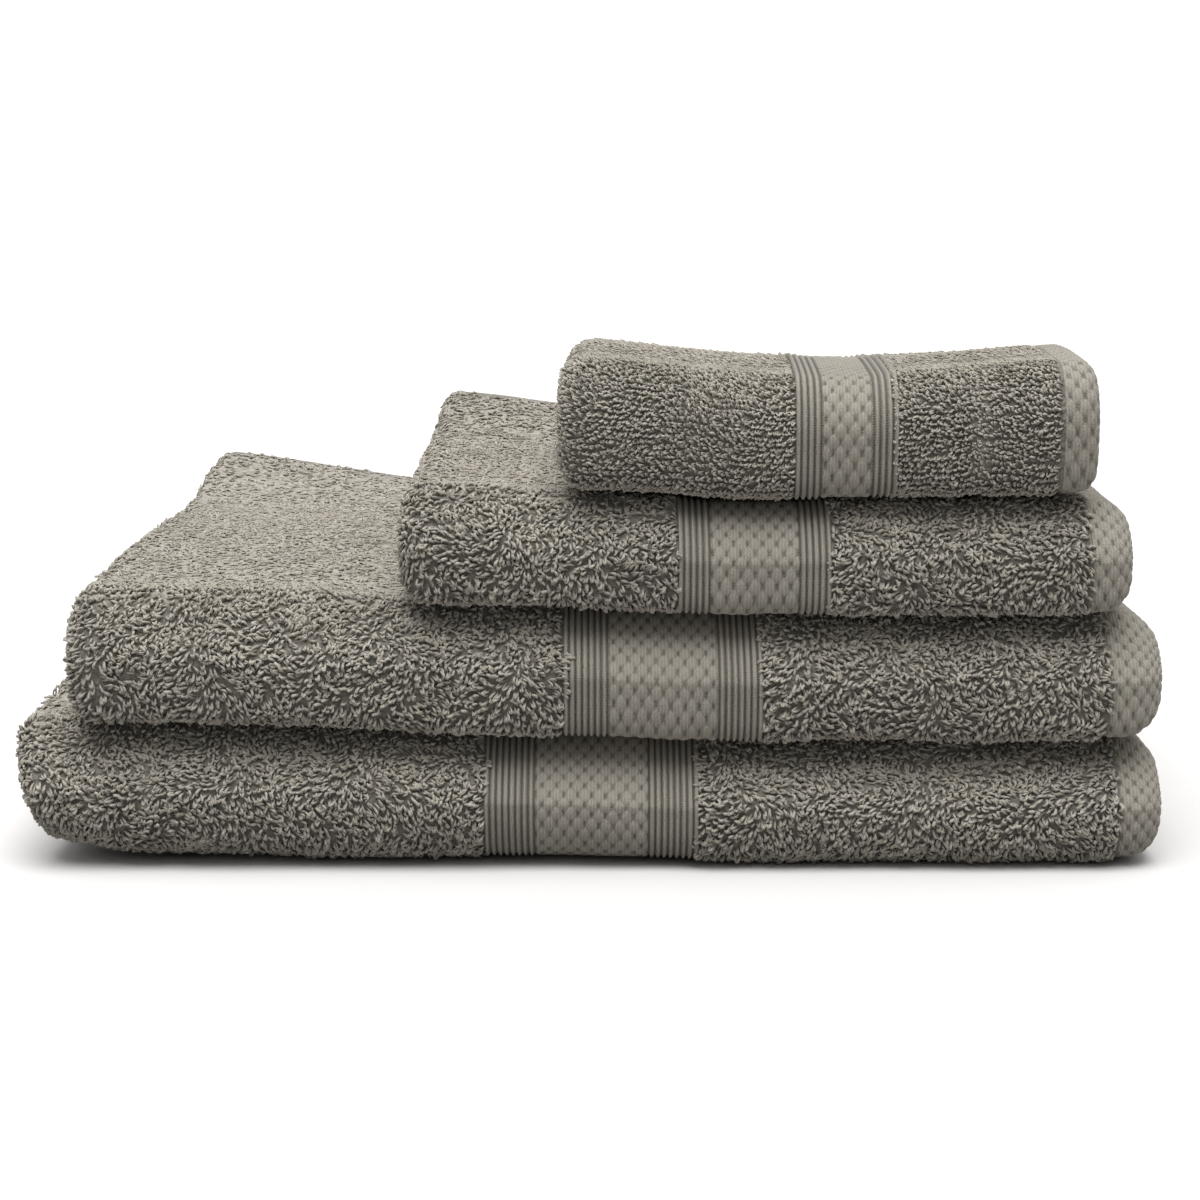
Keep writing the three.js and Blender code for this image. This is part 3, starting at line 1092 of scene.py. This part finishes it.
def stamp_loops(name, towel, kinds, u, v, h, heading, size, flatness, open_share, rng):
    """Stands a loop on every point of the cloth that is given, as one mesh."""
    here, along, across, out = towel.frame_at(u, v, h)
    ahead = np.cos(heading)[:, None] * along + np.sin(heading)[:, None] * across
    aside = np.cross(out, ahead)
    shade = rng.uniform(-1, 1, len(u))
    # painted light: the guest towel's front loops are drawn lighter towards their tips than the other
    # towels'
    painted_tip_light = 1.0 if towel.name == "guest_towel" else 0.75
    kind_of = rng.integers(0, len(kinds), len(u))
    points, corners, sizes, yarn, root, shades = [], [], [], [], [], []
    first = 0
    for k, kind in enumerate(kinds):
        mine = np.flatnonzero(kind_of == k)
        if not len(mine):
            continue
        p = kind["points"]
        scale = size[mine, None, None]
        placed = (
            here[mine, None]
            + scale * p[None, :, 0, None] * ahead[mine, None]
            + scale * p[None, :, 1, None] * aside[mine, None]
            + scale * p[None, :, 2, None] * flatness[mine, None, None] * out[mine, None]
        )
        count = len(p)
        points.append(placed.reshape(-1, 3))
        offset = first + np.arange(len(mine)) * count
        corners.append((kind["corners"][None] + offset[:, None]).ravel())
        sizes.append(np.tile(kind["sizes"], len(mine)))
        yarn.append(np.tile(kind["yarn"], (len(mine), 1)))
        # painted shade, darker towards each loop's feet on the front, blended by open_share into a
        # paler, more even painted light on the uncovered top
        share = open_share[mine, None]
        deep, bright = painted_tip_light * kind["root"][None], 0.86 - 0.06 * (1 - kind["root"][None])
        root.append((deep + (bright - deep) * share).ravel())
        shades.append(np.repeat(shade[mine], count))
        first += len(mine) * count
    points, corners, sizes = np.concatenate(points), np.concatenate(corners), np.concatenate(sizes)
    if not towel.below:
        points[:, 2] = np.maximum(points[:, 2], 0.1 * MM)
    mesh = bpy.data.meshes.new(name)
    mesh.vertices.add(len(points))
    mesh.vertices.foreach_set("co", points.ravel())
    mesh.loops.add(len(corners))
    mesh.loops.foreach_set("vertex_index", corners)
    mesh.polygons.add(len(sizes))
    mesh.polygons.foreach_set("loop_start", np.concatenate([[0], np.cumsum(sizes)[:-1]]))
    mesh.polygons.foreach_set("loop_total", sizes)
    mesh.update(calc_edges=True)
    write_attribute(mesh, "root", np.concatenate(root))
    write_attribute(mesh, "shade", np.concatenate(shades))
    write_uv(mesh, "yarn", np.concatenate(yarn))
    return mesh


class TOWEL_OT_pile(TowelOperator, Operator):
    """Loop the pile of one towel, yarn by yarn"""

    bl_idname = "towel_stack.pile"
    bl_label = "Terry pile"
    FINENESS = {"guest_towel": 0.76, "hand_towel": 0.95}
    MOST_LOOPS = 4800

    def build(self, towel, settings):
        self.fine = self.FINENESS.get(towel.name, 1.0)
        start, end = towel.stretch("out")
        border = [towel.u_at(x) for x in reversed(towel.border_x)]
        hem = towel.u_at(towel.hem_x)
        middle, arc = towel.width / 2, towel.arc
        reach = arc + 5 * MM
        near, far = middle - arc - 16 * MM, middle + reach
        if towel.below is None:
            far = middle + arc
        wrap_start, wrap_end = towel.stretch("wrap")
        round_end = towel.stretch("end")
        free = towel.back - towel.above.back + 5 * MM if towel.above else towel.leg
        beside = towel.u_at(towel.above.left + 10 * MM) if towel.above else border[1]
        front, top, hidden = settings.front_loops, settings.top_loops, settings.hidden_loops
        behind = 0.5 * top if towel.above else 0.7 * top
        patches = [
            ("front_left", border[1], end, near, far, front, True),
            ("front_right", hem, border[0], near, far, front, True),
            ("left_end", wrap_start, wrap_end, near, far, front * 0.85, True),
            ("left_end_top", wrap_start, wrap_end, 0, near, 9.0, False),
            ("left_end_under", wrap_start, wrap_end, far, towel.width, 4.0, False),
            ("right_folds", *round_end, 0, towel.width, 6.0, False),
            ("back_left", border[1], end, 0, min(free, near), behind, False),
            ("back_right", hem, border[0], 0, min(free, near), behind, False),
            ("under_side", border[1], end, far, towel.width, 1.0, False),
        ]
        if free < near:
            split = max(beside, border[1])
            patches += [
                ("beside", split, end, free, near, 0.86 * top, False),
                ("covered_left", border[1], split, free, near, hidden, False),
                ("covered_right", hem, border[0], free, near, hidden, False),
            ]
        for index, (label, u0, u1, v0, v1, density, fine) in enumerate(patches):
            loops = (u1 - u0) * (v1 - v0) * density * 1e4 / self.fine ** 2
            strips = max(1, math.ceil(loops / self.MOST_LOOPS))
            edges = np.linspace(u0, u1, strips + 1)
            for strip in range(strips):
                part = label if strips == 1 else f"{label}_{strip + 1}"
                area = (edges[strip], edges[strip + 1], v0, v1)
                self.patch(towel, settings, part, index * 8 + strip, *area, density, fine)

    def patch(self, towel, settings, label, index, u0, u1, v0, v1, density, fine):
        if u1 - u0 < 2 * MM or v1 - v0 < 2 * MM:
            return
        rng = np.random.default_rng(towel.seed * 31 + index)
        size = self.fine
        if density < 8:    # long loose loops keep clear of the side hems
            v0, v1 = max(v0, 6 * MM), min(v1, towel.width - 8 * MM)
        upright = towel.name == "guest_towel"
        step = math.sqrt(1e-4 / density) * size
        step_u, step_v = (0.78 * step, 1.3 * step) if upright else (step, 0.96 * step)
        u, v = np.meshgrid(
            np.arange(u0 + step_u / 2, u1, step_u),
            np.arange(v0 + step_v / 2, v1, step_v), indexing="ij")
        u, v = u.ravel(), v.ravel()
        wild_u, wild_v = (0.4, 0.16) if upright else (0.42, 0.42)
        u = np.clip(u + rng.uniform(-wild_u, wild_u, len(u)) * step_u, u0, u1)
        v = np.clip(v + rng.uniform(-wild_v, wild_v, len(v)) * step_v, v0, v1)
        lay = Waves(towel.seed + 7, 11 * MM, 52 * MM, 10)
        if upright:
            heading = 0.8 * lay(u, v) + rng.normal(0, 0.35, len(u))
        else:
            heading = 0.5 * math.pi + 1.9 * lay(u, v) + rng.normal(0, 0.5, len(u))
        bed = settings.ground_share * towel.pitch / 2 - 0.35 * MM
        if label.startswith("right_folds"):
            bed = 0.43 * towel.pitch - 0.5 * MM
        scale = size * rng.uniform(0.88, 1.22, len(u))
        if not fine:
            scale *= 1.1 if density > 12 else 1.35 if density > 7 else 2.0
        flatness = rng.uniform(0.75, 1.1, len(u))
        open_share = smooth((towel.width / 2 - v - towel.arc + 4 * MM) / (20 * MM))
        flatness *= 1 - 0.55 * open_share
        if label.startswith(("covered", "under")):
            flatness *= 0.6
        if label == "left_end_under":
            flatness *= 0.4
        kinds = loop_kinds(settings, fine, upright)
        name = f"{towel.name}_pile_{label}"
        mesh = stamp_loops(name, towel, kinds, u, v, bed, heading, scale, flatness, open_share, rng)
        add_object(name, mesh, "terry_loops", towel.name)


class TOWEL_OT_declare(TowelOperator, Operator):
    """An empty step for one towel: it builds nothing"""

    bl_idname = "towel_stack.declare"
    bl_label = "Cut size"

    def build(self, towel, settings):
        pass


PIECE_OPERATORS = (
    TOWEL_OT_cloth, TOWEL_OT_border, TOWEL_OT_end_hem,
    TOWEL_OT_side_hems, TOWEL_OT_pile, TOWEL_OT_declare)


class TOWEL_PT_panel(Panel):
    """Lists the steps that build the stack"""

    bl_idname = "TOWEL_PT_panel"
    bl_label = "Folded towels"
    bl_space_type = "VIEW_3D"
    bl_region_type = "UI"
    bl_category = "Towels"

    def draw(self, context):
        layout = self.layout
        settings = context.scene.towel_stack
        for key in settings.__annotations__:
            layout.prop(settings, key)
        layout.operator(TOWEL_OT_stage.bl_idname)
        for name in TOWELS:
            box = layout.box()
            box.label(text=name.replace("_", " "))
            for operator in PIECE_OPERATORS:
                box.operator(operator.bl_idname).towel = name


CLASSES = (TowelSettings, TOWEL_OT_stage, *PIECE_OPERATORS, TOWEL_PT_panel)


def register():
    for cls in CLASSES:
        bpy.utils.register_class(cls)
    bpy.types.Scene.towel_stack = PointerProperty(type=TowelSettings)


def unregister():
    del bpy.types.Scene.towel_stack
    for cls in reversed(CLASSES):
        bpy.utils.unregister_class(cls)


def main():
    register()
    bpy.ops.towel_stack.stage()
    for name in TOWELS:
        bpy.ops.towel_stack.cloth(towel=name)
        bpy.ops.towel_stack.border(towel=name)
        bpy.ops.towel_stack.end_hem(towel=name)
        bpy.ops.towel_stack.side_hems(towel=name)
        bpy.ops.towel_stack.pile(towel=name)
        bpy.ops.towel_stack.declare(towel=name)


if __name__ == "__main__":
    main()
